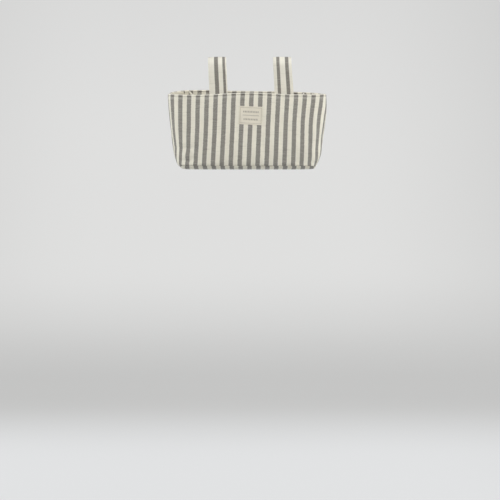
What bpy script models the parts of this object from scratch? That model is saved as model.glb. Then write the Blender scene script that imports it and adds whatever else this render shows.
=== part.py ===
# Stroller organizer: a striped, padded bag with an open top, hung from a bar by two strap loops.
# Metres, +Z up, +X to the right seen from the front, +Y away from the front.
# The origin is the centre of the flat underside.
import math

import bmesh
import bpy
from mathutils import Matrix, Vector

# Outside of the bag. The base width is where the side lines would meet the ground if the
# bottom corners weren't rounded.
RIM_WIDTH = 0.395
RIM_DEPTH = 0.111
BASE_WIDTH = 0.359
BASE_DEPTH = 0.100
SIDE_BULGE = 0.0020
RIM_CORNER = 0.040
BASE_CORNER = 0.046
BOTTOM_CORNER_WIDTH = 0.0205
BOTTOM_CORNER_HEIGHT = 0.044
BOTTOM_CORNER_POWER = 1.5

# Height of the rim at the front, and its rise to the side seams and to the back. The back
# keeps its full height this far along from its middle.
FRONT_RIM = 0.184
SIDE_RISE = 0.004
BACK_RISE = 0.015
BACK_RIM_LEVEL = 0.150

# Layers
CLOTH = 0.0012
WADDING = 0.0024
CLEARANCE = 0.0003
HEM_DROP = 0.025
BOARD = 0.0032

# Stripes
STRIPE_PITCH = 0.022
GREY_SHARE = 0.46
BASE_STRIPE_SHIFT = 0.0025
CREAM = (0.74, 0.70, 0.59)
GREY = (0.27, 0.26, 0.23)

# Dividers, and the width of the end compartments that they close off, at the front and back
DIVIDER = 0.0024
END_WIDTH_FRONT = 0.072
END_WIDTH_BACK = 0.056
DIVIDER_DROP = 0.004

# Slip pocket on the inside of the back, its top this far below the straps' inner ends
POCKET_WIDTH = 0.170
POCKET_FLOOR = 0.045
POCKET_DROP = 0.019
POCKET_GAP = 0.011
BINDING = 0.0010
BINDING_DROP = 0.010

# Straps, and the bar that they go round
STRAP_WIDTH = 0.045
STRAP = 0.0024
STRAP_X = 0.082
STRAP_INNER_DROP = 0.030
STRAP_OUTER_DROP = 0.060
STRAP_STRAIGHT = 0.002
BAR_DIAMETER = 0.037
BAR_RISE = 0.0655
LOOP_FACETS = 13

# Hook and loop patches between the strap's outer leg and the back
PATCH = 0.0012
PATCH_HEIGHT = 0.040
PATCH_SIDE_MARGIN = 0.0035
PATCH_END_MARGIN = 0.006

# Label, its middle this far below the front rim
LABEL_WIDTH = 0.057
LABEL_HEIGHT = 0.045
LABEL = 0.0010
LABEL_DROP = 0.056
LABEL_TURN = math.radians(3)

# Depths from the bag's outer face, measured inward
WADDING_INSET = CLOTH + CLEARANCE
LINING_INSET = WADDING_INSET + WADDING + CLEARANCE
WALL = LINING_INSET + CLOTH

# Heights and places
SIDE_RIM = FRONT_RIM + SIDE_RISE
BACK_RIM = FRONT_RIM + BACK_RISE
STRAP_INNER_END = BACK_RIM - STRAP_INNER_DROP
STRAP_OUTER_END = BACK_RIM - STRAP_OUTER_DROP
POCKET_TOP = STRAP_INNER_END - POCKET_DROP
BASE_TOP = CLOTH + CLEARANCE + BOARD + CLEARANCE
BASE_LINING_TOP = BASE_TOP + CLOTH
WALL_FOOT = BASE_TOP + CLEARANCE
LINING_FOOT = BASE_LINING_TOP + CLEARANCE

# Mesh density
NORMAL_STEP = 0.0005
FLAT_COLUMNS = 8
CORNER_COLUMNS = 12
UNDERCUT_ROWS = 5
UNDERCUT_SPACING = 1.4
UPPER_ROWS = 3
BASE_COLUMNS = 32
SHARP_ANGLE = math.radians(40)

FRONT = -1
BACK = 1


def between(start, end, share):
    return start + (end - start) * share


def eased(share):
    share = min(1.0, max(0.0, share))
    return share * share * (3 - 2 * share)


def side_line(z):
    return between(BASE_WIDTH, RIM_WIDTH, z / FRONT_RIM) / 2


def half_width(z):
    rise = z / FRONT_RIM
    side = side_line(z) + SIDE_BULGE * 4 * rise * (1 - rise)
    below = min(1.0, max(0.0, 1 - z / BOTTOM_CORNER_HEIGHT))
    arch = (1 - below**BOTTOM_CORNER_POWER) ** (1 / BOTTOM_CORNER_POWER)
    return side - BOTTOM_CORNER_WIDTH * (1 - arch)


def half_depth(z):
    return between(BASE_DEPTH, RIM_DEPTH, z / FRONT_RIM) / 2


def corner_radius(z):
    return between(BASE_CORNER, RIM_CORNER, z / FRONT_RIM)


def half_length(z):
    """Length of the outline from the middle of the front to a side seam."""
    return half_width(z) + half_depth(z) - (2 - math.pi / 2) * corner_radius(z)


def outline(along, z):
    """x and outward y of the bag's level outline, a distance along from the middle of its front."""
    width, depth, radius = half_width(z), half_depth(z), corner_radius(z)
    reach = abs(along)
    flat = width - radius
    turn = (reach - flat) / radius
    if turn <= 0:
        x, y = reach, depth
    elif turn <= math.pi / 2:
        x = flat + radius * math.sin(turn)
        y = depth - radius + radius * math.cos(turn)
    else:
        x, y = width, depth - radius - (reach - flat - radius * math.pi / 2)
    return math.copysign(x, along), y


def outer_point(side, along, z):
    """Point of the outer face. The cloth is narrower low down, and its ends take that up."""
    rim_length = half_length(FRONT_RIM)
    gathered = along + (half_length(z) - rim_length) * (along / rim_length) ** 3
    x, y = outline(gathered, z)
    return Vector((-side * x, side * y, z))


def inset_point(side, along, z, inset):
    step = NORMAL_STEP
    across = outer_point(side, along + step, z) - outer_point(side, along - step, z)
    upward = outer_point(side, along, z + step) - outer_point(side, along, z - step)
    outward = across.cross(upward).normalized()
    return outer_point(side, along, z) - outward * inset


def inner_depth(x, z, inset):
    """Outward y of the upright face that lies this far inside the outer one."""
    radius = corner_radius(z) - inset
    past = abs(x) - (half_width(z) - corner_radius(z))
    if past <= 0:
        return half_depth(z) - inset
    return half_depth(z) - inset - radius + math.sqrt(radius**2 - past**2)


def rim_height(side, along):
    if side == FRONT:
        flat = half_width(FRONT_RIM) - corner_radius(FRONT_RIM)
        share = (abs(along) - flat) / (half_length(FRONT_RIM) - flat)
        return between(FRONT_RIM, SIDE_RIM, eased(share))
    share = (abs(along) - BACK_RIM_LEVEL) / (half_length(FRONT_RIM) - BACK_RIM_LEVEL)
    return between(BACK_RIM, SIDE_RIM, eased(share))


def principled(name, colour, roughness):
    material = bpy.data.materials.new(name)
    material.use_nodes = True
    surface = material.node_tree.nodes["Principled BSDF"]
    surface.inputs["Base Color"].default_value = (*colour, 1)
    surface.inputs["Roughness"].default_value = roughness
    surface.inputs["Metallic"].default_value = 0
    return material


def striped(name, shift=0.0):
    """Cream cloth with grey stripes, set out along U, which holds metres across the cloth."""
    material = principled(name, CREAM, 0.9)
    nodes, links = material.node_tree.nodes, material.node_tree.links
    place = nodes.new("ShaderNodeUVMap")
    split = nodes.new("ShaderNodeSeparateXYZ")
    moved = nodes.new("ShaderNodeMath")
    moved.operation = "ADD"
    moved.inputs[1].default_value = STRIPE_PITCH * GREY_SHARE / 2 - shift
    repeat = nodes.new("ShaderNodeMath")
    repeat.operation = "FLOORED_MODULO"
    repeat.inputs[1].default_value = STRIPE_PITCH
    inside = nodes.new("ShaderNodeMath")
    inside.operation = "LESS_THAN"
    inside.inputs[1].default_value = STRIPE_PITCH * GREY_SHARE
    colour = nodes.new("ShaderNodeMix")
    colour.data_type = "RGBA"
    colour.inputs["A"].default_value = (*CREAM, 1)
    colour.inputs["B"].default_value = (*GREY, 1)
    links.new(place.outputs["UV"], split.inputs["Vector"])
    links.new(split.outputs["X"], moved.inputs[0])
    links.new(moved.outputs[0], repeat.inputs[0])
    links.new(repeat.outputs[0], inside.inputs[0])
    links.new(inside.outputs[0], colour.inputs["Factor"])
    links.new(colour.outputs["Result"], material.node_tree.nodes["Principled BSDF"].inputs["Base Color"])
    return material


def new_object(name, bm, material):
    mesh = bpy.data.meshes.new(name)
    bm.to_mesh(mesh)
    bm.free()
    mesh.materials.append(material)
    mesh.shade_smooth()
    mesh.set_sharp_from_angle(angle=SHARP_ANGLE)
    part = bpy.data.objects.new(name, mesh)
    parts.objects.link(part)
    part.parent = bag
    return part


def solidify(part, thickness, offset=-1.0):
    shell = part.modifiers.new("thickness", "SOLIDIFY")
    shell.thickness = thickness
    shell.offset = offset
    shell.use_even_offset = True
    return shell


def sheet(name, across, up, place, thickness, material, offset=-1.0):
    """A sheet of cloth. place(a, u) gives the point for each pair of values from across and up."""
    bm = bmesh.new()
    cloth = bm.loops.layers.uv.new("cloth")
    bmesh.ops.create_grid(bm, x_segments=len(across) - 1, y_segments=len(up) - 1, size=0.5)
    spots = {}
    for vert in bm.verts:
        column = round((vert.co.x + 0.5) * (len(across) - 1))
        row = round((vert.co.y + 0.5) * (len(up) - 1))
        spots[vert] = (across[column], row / (len(up) - 1))
        vert.co = place(across[column], up[row])
    for face in bm.faces:
        for loop in face.loops:
            loop[cloth].uv = spots[loop.vert]
    part = new_object(name, bm, material)
    solidify(part, thickness, offset)
    return part


def evenly(start, end, count):
    return [between(start, end, k / count) for k in range(count + 1)]


def wall_columns():
    """Places along a wall, the same for each layer, closer together round the corners."""
    end = half_length(FRONT_RIM) - CLEARANCE / 2
    flat = half_width(0) - corner_radius(0)
    corner = evenly(flat, end, CORNER_COLUMNS)[1:]
    return [-along for along in reversed(corner)] + evenly(-flat, flat, FLAT_COLUMNS) + corner


def wall_rows():
    """Rows up a wall, from 0 at its foot to 1 where the bottom corners end and 2 at its top."""
    return evenly(0, 1, UNDERCUT_ROWS) + evenly(1, 2, UPPER_ROWS)[1:]


def row_height(foot, top, row):
    if row <= 1:
        return between(foot, BOTTOM_CORNER_HEIGHT, row**UNDERCUT_SPACING)
    return between(BOTTOM_CORNER_HEIGHT, top, row - 1)


def outer_wall(name, side, material):
    """The outer cloth, turned in over the wadding at the rim and down again as a facing."""
    rows = [(row, 0.0, 0.0) for row in wall_rows()]
    rows += [(2, 0.0, WALL), (2, HEM_DROP, WALL)]

    def place(along, spot):
        row, drop, inset = spot
        z = row_height(WALL_FOOT, rim_height(side, along), row) - drop
        return inset_point(side, along, z, inset)

    sheet(name, wall_columns(), rows, place, CLOTH, material)


def inner_layer(name, side, inset, foot, drop, thickness, material):
    def place(along, row):
        z = row_height(foot, rim_height(side, along) - drop, row)
        return inset_point(side, along, z, inset)

    sheet(name, wall_columns(), wall_rows(), place, thickness, material)


def slab(name, inset, low, high, material, cutter=False):
    """A level piece that fills the bag's outline, less the inset, between two heights."""
    bm = bmesh.new()
    cloth = bm.loops.layers.uv.new("cloth")
    rings = []
    for z in (low, high):
        stops = evenly(-half_length(z), half_length(z), BASE_COLUMNS)
        ring = []
        for side in (FRONT, BACK):
            for along in stops[:-1]:
                x, y = outline(along, z)
                flat = half_width(z) - corner_radius(z)
                middle = Vector((max(-flat, min(flat, x)), min(y, half_depth(z) - corner_radius(z)), 0))
                point = Vector((x, y, 0))
                point -= (point - middle).normalized() * inset
                ring.append(bm.verts.new((-side * point.x, side * point.y, z)))
        rings.append(ring)
    lower, upper = rings
    bm.faces.new(reversed(lower))
    bm.faces.new(upper)
    for k in range(len(lower)):
        after = (k + 1) % len(lower)
        bm.faces.new((lower[k], lower[after], upper[after], upper[k]))
    for face in bm.faces:
        for loop in face.loops:
            loop[cloth].uv = loop.vert.co.xy
    part = new_object(name, bm, material)
    if cutter:
        cutters.objects.link(part)
        parts.objects.unlink(part)
        part.hide_render = True
        part.display_type = "WIRE"
    return part


def make_base():
    panel = slab("base_panel", 0, 0, BASE_TOP, striped("striped_base", BASE_STRIPE_SHIFT))
    recess = slab("base_recess", CLOTH, CLOTH, BASE_TOP + CLOTH, lining_cloth, cutter=True)
    cut = panel.modifiers.new("recess", "BOOLEAN")
    cut.operation = "DIFFERENCE"
    cut.solver = "EXACT"
    cut.object = recess
    around = CLOTH + CLEARANCE
    slab("base_board", around, around, around + BOARD, board_grey)
    slab("lining_base", LINING_INSET, BASE_TOP, BASE_LINING_TOP, lining_cloth)


def make_divider(name, side_x):
    """A cloth wall from the front's lining to the back's, leaning out like the bag's ends."""
    reach = WALL + CLEARANCE

    def place(share, rise):
        top = between(FRONT_RIM, BACK_RIM, share) - DIVIDER_DROP
        z = between(LINING_FOOT, top, rise)
        x = side_x * (side_line(z) - between(END_WIDTH_FRONT, END_WIDTH_BACK, share))
        y = between(-inner_depth(x, z, reach), inner_depth(x, z, reach), share)
        return Vector((x, y, z))

    sheet(name, evenly(0, 1, 4), evenly(0, 1, 6), place, DIVIDER, lining_cloth, offset=0.0)


def lean_with_back(part):
    """Shifts each point by the back wall's lean, so an upright piece lies along that wall."""
    for vert in part.data.vertices:
        vert.co.y += half_depth(vert.co.z) - half_depth(0)


def make_slip_pocket():
    back = half_depth(0) - WALL - CLEARANCE
    size = (POCKET_WIDTH, POCKET_GAP, POCKET_TOP - POCKET_FLOOR)
    middle = Vector((0, back - POCKET_GAP / 2, (POCKET_TOP + POCKET_FLOOR) / 2))
    bm = bmesh.new()
    bmesh.ops.create_cube(bm, size=1.0, matrix=Matrix.Translation(middle) @ Matrix.Diagonal((*size, 1)))
    bm.normal_update()
    opened = [face for face in bm.faces if face.normal.z > 0.9 or face.normal.y > 0.9]
    bmesh.ops.delete(bm, geom=opened, context="FACES")
    pocket = new_object("slip_pocket", bm, lining_cloth)
    lean_with_back(pocket)
    solidify(pocket, CLOTH)

    front = back - POCKET_GAP + CLOTH / 2
    gap = CLOTH / 2 + CLEARANCE

    def place(across, corner):
        offset, height = corner
        z = POCKET_TOP + height
        return Vector((across, front + offset + half_depth(z) - half_depth(0), z))

    outer = gap + BINDING
    corners = [(-outer, -BINDING_DROP), (-outer, outer), (outer, outer), (outer, -BINDING_DROP)]
    end = POCKET_WIDTH / 2 - CLOTH - CLEARANCE
    sheet("pocket_binding", [-end, 0, end], corners, place, BINDING, binding_cloth)


def strap_path():
    """Centre line of a strap as (y, z), from its inner end over the bar to its outer end."""
    inner_inset = WALL + CLEARANCE + STRAP / 2
    outer_reach = 3 * CLEARANCE + 2 * PATCH + STRAP / 2
    shoulder = BACK_RIM + STRAP_STRAIGHT
    inner_y = half_depth(shoulder) - inner_inset
    outer_y = half_depth(shoulder) + outer_reach
    middle = Vector(((inner_y + outer_y) / 2, BACK_RIM + BAR_RISE))
    radius = BAR_DIAMETER / 2 + STRAP / 2
    away = Vector((inner_y, shoulder)) - middle
    inner_angle = math.atan2(away.y, away.x) - math.acos(radius / away.length) + 2 * math.pi
    outer_angle = math.pi - inner_angle
    path = [(half_depth(STRAP_INNER_END) - inner_inset, STRAP_INNER_END), (inner_y, shoulder)]
    for angle in evenly(inner_angle, outer_angle, LOOP_FACETS):
        path.append((middle.x + radius * math.cos(angle), middle.y + radius * math.sin(angle)))
    path += [(outer_y, shoulder), (half_depth(STRAP_OUTER_END) + outer_reach, STRAP_OUTER_END)]
    return path


def make_strap(name, middle_x):
    def place(across, point):
        return Vector((middle_x + across, point[0], point[1]))

    half = STRAP_WIDTH / 2
    sheet(name, [-half, 0, half], strap_path(), place, STRAP, strap_cloth, offset=0.0)


def make_patch(name, middle_x, gap, material):
    """A patch along the back wall's outer face, this far out from it."""
    low = STRAP_OUTER_END + PATCH_END_MARGIN

    def place(across, height):
        z = low + height
        return Vector((middle_x - across, half_depth(z) + gap + PATCH, z))

    half = STRAP_WIDTH / 2 - PATCH_SIDE_MARGIN
    sheet(name, [-half, half], [0, PATCH_HEIGHT], place, PATCH, material)


def make_label():
    turn = Matrix.Rotation(LABEL_TURN, 2)

    def place(across, height):
        x, rise = turn @ Vector((across, height))
        z = FRONT_RIM - LABEL_DROP + rise
        return Vector((x, -half_depth(z) - CLEARANCE - LABEL, z))

    half_x, half_z = LABEL_WIDTH / 2, LABEL_HEIGHT / 2
    sheet("label", [-half_x, half_x], [-half_z, half_z], place, LABEL, label_cloth)


for old in list(bpy.data.objects):
    bpy.data.objects.remove(old)

parts = bpy.data.collections.new("stroller_organizer")
cutters = bpy.data.collections.new("cutters")
bpy.context.scene.collection.children.link(parts)
bpy.context.scene.collection.children.link(cutters)
bag = bpy.data.objects.new("bag", None)
parts.objects.link(bag)

wall_cloth = striped("striped_wall")
strap_cloth = striped("striped_strap")
lining_cloth = principled("lining_cloth", (0.70, 0.66, 0.56), 0.9)
binding_cloth = principled("binding_cloth", (0.76, 0.72, 0.62), 0.85)
label_cloth = principled("label_cloth", (0.70, 0.66, 0.57), 0.85)
wadding_white = principled("wadding_white", (0.85, 0.85, 0.82), 1.0)
board_grey = principled("board_grey", (0.20, 0.20, 0.19), 0.6)
patch_cream = principled("patch_cream", (0.72, 0.69, 0.60), 0.95)

for side, end in ((FRONT, "front"), (BACK, "back")):
    outer_wall(end + "_wall", side, wall_cloth)
    inner_layer("wadding_" + end, side, WADDING_INSET, WALL_FOOT, WADDING_INSET, WADDING, wadding_white)
    below_hem = HEM_DROP + CLEARANCE
    inner_layer("lining_" + end, side, LINING_INSET, LINING_FOOT, below_hem, CLOTH, lining_cloth)

make_base()
make_slip_pocket()
make_label()
for side_x, end in ((-1, "left"), (1, "right")):
    make_divider("divider_" + end, side_x)
    make_strap("strap_" + end, side_x * STRAP_X)
    make_patch("loop_patch_" + end, side_x * STRAP_X, CLEARANCE, patch_cream)
    make_patch("hook_patch_" + end, side_x * STRAP_X, 2 * CLEARANCE + PATCH, patch_cream)
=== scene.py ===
# Stroller organizer in striped cotton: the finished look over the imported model.
# Metres, +Z up, the front faces -Y.
import math

import bmesh
import bpy
import numpy as np
from mathutils import Matrix, Vector, noise


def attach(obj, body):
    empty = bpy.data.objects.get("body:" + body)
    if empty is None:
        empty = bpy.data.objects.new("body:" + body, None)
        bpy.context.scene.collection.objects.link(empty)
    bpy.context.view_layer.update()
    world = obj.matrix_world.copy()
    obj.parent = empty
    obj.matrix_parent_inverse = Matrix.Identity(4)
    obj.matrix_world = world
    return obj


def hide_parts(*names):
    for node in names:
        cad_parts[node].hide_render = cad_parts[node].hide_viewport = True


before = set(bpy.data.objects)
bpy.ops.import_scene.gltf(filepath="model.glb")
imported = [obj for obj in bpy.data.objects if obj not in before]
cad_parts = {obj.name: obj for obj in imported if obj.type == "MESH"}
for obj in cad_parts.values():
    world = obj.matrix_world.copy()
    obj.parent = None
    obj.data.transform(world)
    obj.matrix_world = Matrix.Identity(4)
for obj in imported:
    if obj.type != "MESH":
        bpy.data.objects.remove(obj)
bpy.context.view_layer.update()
print("frame loaded")

front, back = -1, 1


# Curves, lookups and noise over arrays

def through(points):
    # a smooth function through a few (place, value) points
    places = np.array([p for p, value in points], float)
    values = np.array([value for p, value in points], float)
    slopes = np.gradient(values, places)

    def at(x):
        x = np.clip(x, places[0], places[-1])
        k = np.clip(np.searchsorted(places, x, side="right") - 1, 0, len(places) - 2)
        span = places[k + 1] - places[k]
        t = (x - places[k]) / span
        start, end = values[k], values[k + 1]
        return (start * (1 + 2 * t) * (1 - t) ** 2 + end * t * t * (3 - 2 * t)
                + span * (slopes[k] * t * (1 - t) ** 2 - slopes[k + 1] * t * t * (1 - t)))
    return at


def eased(x):
    x = np.clip(x, 0, 1)
    return x * x * (3 - 2 * x)


def unit(vectors):
    return vectors / np.linalg.norm(vectors, axis=-1, keepdims=True)


def lengthAlong(line):
    return np.concatenate([[0], np.cumsum(np.linalg.norm(np.diff(line, axis=0), axis=1))])


def floats(*values):
    return np.broadcast_arrays(*(np.asarray(value, float) for value in values))


def rough(u, v, seed):
    u, v = np.broadcast_arrays(u, v)
    spots = [noise.noise(Vector((a, b, seed))) for a, b in zip(u.ravel(), v.ravel())]
    return np.array(spots).reshape(u.shape)


def sample(table, share, rise):
    # a table's value at shares from -1 to 1 and rises from 0 to 1
    column = np.clip((share + 1) / 2, 0, 1) * (table.shape[1] - 1)
    row = np.clip(rise, 0, 1) * (table.shape[0] - 1)
    c = np.minimum(column.astype(int), table.shape[1] - 2)
    r = np.minimum(row.astype(int), table.shape[0] - 2)
    s, t = column - c, row - r
    return ((table[r, c] * (1 - s) + table[r, c + 1] * s) * (1 - t)
            + (table[r + 1, c] * (1 - s) + table[r + 1, c + 1] * s) * t)


# The bag's form: level outlines, softly squared, wider on the left as it hangs

bag = {
    "seam": 0.0052,                 # height of the seam between the walls and the base
    "left": [(0, 0.1625), (0.005, 0.1705), (0.0095, 0.1757), (0.019, 0.1802), (0.032, 0.1845),
             (0.044, 0.1870), (0.056, 0.1888), (0.093, 0.1930), (0.118, 0.1955), (0.142, 0.1976),
             (0.158, 0.1994), (0.179, 0.2002), (0.22, 0.2002)],
    "right": [(0, 0.1640), (0.005, 0.1662), (0.0095, 0.1682), (0.019, 0.1732), (0.032, 0.1785),
              (0.044, 0.1807), (0.056, 0.1815), (0.081, 0.1833), (0.105, 0.1872), (0.130, 0.1910),
              (0.150, 0.1930), (0.179, 0.1924), (0.22, 0.192)],
    "depth": [(0, 0.0495), (0.03, 0.0524), (0.07, 0.0550), (0.11, 0.0562), (0.15, 0.0560),
              (0.184, 0.0548), (0.22, 0.0538)],
    "leftPower": [(0, 3.8), (0.005, 3.8), (0.04, 3.5), (0.1, 4.5), (0.184, 5.7), (0.22, 5.7)],
    "rightPower": [(0, 3.8), (0.005, 3.8), (0.04, 3.6), (0.1, 4.6), (0.184, 5.5), (0.22, 5.5)],
    "backPower": [(0, 3.8), (0.005, 3.8), (0.04, 4.1), (0.184, 5.6), (0.22, 5.6)],
    # rim heights along a wall, from one side seam at -1 to the other at 1
    "frontRim": [(-1, 0.1866), (-0.86, 0.1836), (-0.64, 0.1802), (-0.42, 0.1808), (-0.25, 0.1832),
                 (-0.1, 0.1847), (0.1, 0.1847), (0.25, 0.1834), (0.4, 0.1814), (0.6, 0.1812),
                 (0.75, 0.1817), (0.88, 0.1838), (1, 0.1866)],
    "backRim": [(-1, 0.1866), (-0.84, 0.1945), (-0.7, 0.1990), (-0.55, 0.2008), (-0.25, 0.1993),
                (0, 0.1982), (0.25, 0.1975), (0.4, 0.1972), (0.58, 0.1954), (0.75, 0.1925),
                (0.88, 0.1893), (1, 0.1866)],
    # slow waves of the cloth: how far out, reach along and up, and noise of their own
    "waves": [(0.0022, 0.105, 0.12, 0), (0.0011, 0.040, 0.105, 5), (0.0004, 0.016, 0.030, 9)],
    "fullness": 0.0022,             # how far the wadding fills out a wall's middle
    "lean": 0.044,                  # the stripes drift to the left going down
    "middle": 0.0072,               # where the cloth's middle hangs, a little right of the bag's own
    # cloth taken up by height towards each side seam, where it is eased into the corners
    "easedLeft": [(0, 0.0025), (0.012, 0.0055), (0.042, 0.0150), (0.09, 0.0090), (0.184, 0.0055)],
    "easedRight": [(0, 0.005), (0.04, 0.0150), (0.09, 0.0065), (0.184, 0.001)],
    # more of it drawn in at half height on the front, left and right: reach, power, height, how tall
    "drawn": [(0.0036, 1.5, 0.092, 0.050), (0.0145, 3, 0.110, 0.049)],
    # folds that the front's cloth has taken: place along it, height, reach along and up, and how far out
    "folds": [(-0.157, 0.030, 0.0090, 0.0120, 0.0038), (-0.148, 0.049, 0.0220, 0.0065, -0.0030),
              (-0.136, 0.022, 0.0060, 0.0140, -0.0018), (0.150, 0.060, 0.0060, 0.0450, -0.0014),
              (0.163, 0.110, 0.0055, 0.0500, 0.0014), (0.157, 0.028, 0.0060, 0.0160, 0.0018)],
}
wall = {"thick": 0.0058, "cloth": 0.0009, "hem": 0.025, "stitch": 0.005, "columns": 215, "rows": 52,
        # about its length from the middle to a side seam, and the share that lies beside the seam
        "half": 0.24, "beside": 0.03,
        # how deep and how near the side seams the cloth turns in
        "tuck": (0.0016, 0.0011)}

levels = np.linspace(0, 0.22, 111)
shares = np.linspace(-1, 1, 241)
halfWidths = {sign: through(bag[key])(levels) for sign, key in ((-1, "left"), (1, "right"))}
rimCurve = {front: through(bag["frontRim"]), back: through(bag["backRim"])}


def outlineTable(side):
    # x and y for each level and share of the way from the middle to a side seam, the length of
    # each half at each level, and the way back from x to share
    turn = np.linspace(0, math.pi / 2, 1601)
    depths = through(bag["depth"])(levels)
    powers = {sign: through(bag[key if side == front else "backPower"])(levels)
              for sign, key in ((-1, "leftPower"), (1, "rightPower"))}
    xTable, yTable, shareTable = np.zeros((3, len(levels), len(shares)))
    arcs = np.zeros((len(levels), 2))
    for row in range(len(levels)):
        for sign in (-1, 1):
            power = powers[sign][row]
            x = halfWidths[sign][row] * np.sin(turn) ** (2 / power)
            y = depths[row] * np.cos(turn) ** (2 / power)
            arc = np.concatenate([[0], np.cumsum(np.hypot(np.diff(x), np.diff(y)))])
            mine = (shares * sign) >= 0
            reach = np.abs(shares[mine])
            xTable[row, mine] = sign * np.interp(reach * arc[-1], arc, x)
            yTable[row, mine] = side * np.interp(reach * arc[-1], arc, y)
            shareTable[row, mine] = sign * np.interp(reach * x[-1], x, arc / arc[-1])
            arcs[row, (sign + 1) // 2] = arc[-1]
    return {"x": xTable, "y": yTable, "arcs": arcs, "share": shareTable}


tables = {side: outlineTable(side) for side in (front, back)}


def surface(side, share, z):
    table, rise = tables[side], z / levels[-1]
    return np.stack([sample(table["x"], share, rise), sample(table["y"], share, rise), z], axis=-1)


def halfArc(side, share, z):
    arcs = tables[side]["arcs"]
    return np.where(share < 0, np.interp(z, levels, arcs[:, 0]), np.interp(z, levels, arcs[:, 1]))


def rimOf(side, share):
    # the rim's height, with the small waves that its sewing leaves
    share = np.asarray(share, float)
    free = eased((1 - np.abs(share)) / 0.1)
    return rimCurve[side](share) + 0.0005 * free * rough(share * 6.5, share * 0, 4.2 + side)


settled = {}                        # how each wall's settled cloth lies: a table over rise and share


def swell(side, share, along, z):
    # how far the cloth stands out from the plain form
    seed = 3.1 if side == front else 17.7
    rim = rimOf(side, share)
    rise = np.clip((z - bag["seam"]) / (rim - bag["seam"]), 0, 1)
    aside = 1 - np.abs(share)
    free, ends = eased(aside / 0.1) * eased(rise * 7), eased(aside / 0.02)
    out = sum(much * rough(along / wide, z / tall, seed + step)
              for much, wide, tall, step in bag["waves"])
    out += bag["fullness"] * np.sin(math.pi * rise) * (1 - share ** 2)
    # soft folds where the bottom corners are eased in
    corner = eased((np.abs(share) - 0.5) / 0.25) * np.exp(-((z - 0.022) / 0.020) ** 2)
    out += 0.0016 * corner * rough(along / 0.013, z / 0.035, seed + 14)
    if side == front:
        for place, high, wide, tall, much in bag["folds"]:
            out += much * np.exp(-((along - place) / wide) ** 2 - ((z - high) / tall) ** 2)
    out *= free
    if side == back:
        # the back's rim is drawn in a little, where the straps are sewn to it
        out -= 0.0020 * free * np.exp(-((rim - z) / 0.008) ** 2)
    if side in settled:
        out += sample(settled[side], share, (z - bag["seam"]) / (rim - wall["stitch"] - bag["seam"]))
    # puckers at the base seam, the hem stitches and the side seams
    out += 0.0006 * np.exp(-(z - bag["seam"]) / 0.007) * rough(along / 0.0055, z / 0.02, seed + 20) * ends
    hem = np.exp(-((rim - z - 0.007) / 0.006) ** 2)
    out += 0.00028 * hem * rough(along / 0.0045, z / 0.02, seed + 25) * ends
    out += 0.0008 * np.exp(-aside / 0.03) * rough(z / 0.008, share * 3, seed + 30) * ends
    return out


def wallPoints(side, share, z, inset):
    # points of the wall's cloth, this far inside its outer face, and the outward direction there
    share, z, inset = floats(share, z, inset)
    across = surface(side, share + 0.01, z) - surface(side, share - 0.01, z)
    upward = surface(side, share, z + 0.003) - surface(side, share, z - 0.003)
    outward = unit(np.cross(across, upward) * -side)
    along = share * halfArc(side, share, z)
    offset = swell(side, share, along, z) - inset
    return surface(side, share, z) + outward * offset[..., None], outward


def shareAt(side, x, z):
    x, z = floats(x, z)
    half = np.where(x < 0, np.interp(z, levels, halfWidths[-1]), np.interp(z, levels, halfWidths[1]))
    return sample(tables[side]["share"], x / half, z / levels[-1])


def facing(side, x, z, inset):
    # a point of the wall by its x and height
    x, z = floats(x, z)
    return wallPoints(side, shareAt(side, x, z), z, inset)


# Building

def meshOf(name, bm):
    mesh = bpy.data.meshes.new(name)
    bm.to_mesh(mesh)
    bm.free()
    return mesh


def addObject(name, data):
    thing = bpy.data.objects.new(name, data)
    bpy.context.scene.collection.objects.link(thing)
    return thing


def newPiece(name, bm, material, replaced=()):
    piece = addObject(name, meshOf(name, bm))
    piece.data.shade_smooth()
    piece.data.materials.append(material)
    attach(piece, "root")
    if replaced:
        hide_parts(*replaced)
    return piece


def clothGrid(points, marks):
    # a grid whose rows and columns take the given places; marks become the cloth's own coordinates
    rows, columns = points.shape[:2]
    bm = bmesh.new()
    uv = bm.loops.layers.uv.new("cloth")
    bmesh.ops.create_grid(bm, x_segments=columns - 1, y_segments=rows - 1, size=0.5)
    spots = {}
    for vert in bm.verts:
        c = round((vert.co.x + 0.5) * (columns - 1))
        r = round((vert.co.y + 0.5) * (rows - 1))
        vert.co = points[r, c]
        spots[vert] = marks[r, c]
    for face in bm.faces:
        for loop in face.loops:
            loop[uv].uv = spots[loop.vert]
    return bm


def closedTube(points, marks):
    # a grid whose long edges meet, filled at both ends
    bm = clothGrid(points, marks)
    bmesh.ops.remove_doubles(bm, verts=bm.verts, dist=1e-6)
    bmesh.ops.holes_fill(bm, edges=bm.edges, sides=0)
    bmesh.ops.recalc_face_normals(bm, faces=bm.faces)
    return bm


def thicken(piece, thickness, offset=-1, bevel=None):
    shell = piece.modifiers.new("thickness", "SOLIDIFY")
    shell.thickness, shell.offset, shell.use_even_offset = thickness, offset, True
    shell.thickness_clamp = 0.6
    if bevel:
        edge = piece.modifiers.new("edge", "BEVEL")
        edge.width, edge.segments, edge.angle_limit = bevel, 3, math.radians(60)
    return piece


def sideColumns(side, count, ends=(0.0005, 0.0012, 0.0022, 0.004)):
    # shares along a wall, with a few more beside each side seam
    extra = np.array([0, *ends]) / wall["half"]
    middle = np.linspace(-1 + wall["beside"], 1 - wall["beside"], count)
    columns = np.concatenate([-1 + extra, middle, (1 - extra)[::-1]])
    return columns if side == front else columns[::-1]


def tuckAt(side, share, z):
    # the cloth turns in beside a side seam
    deep, reach = wall["tuck"]
    return deep * np.exp(-(1 - np.abs(share)) * halfArc(side, share, z) / reach)


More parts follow.
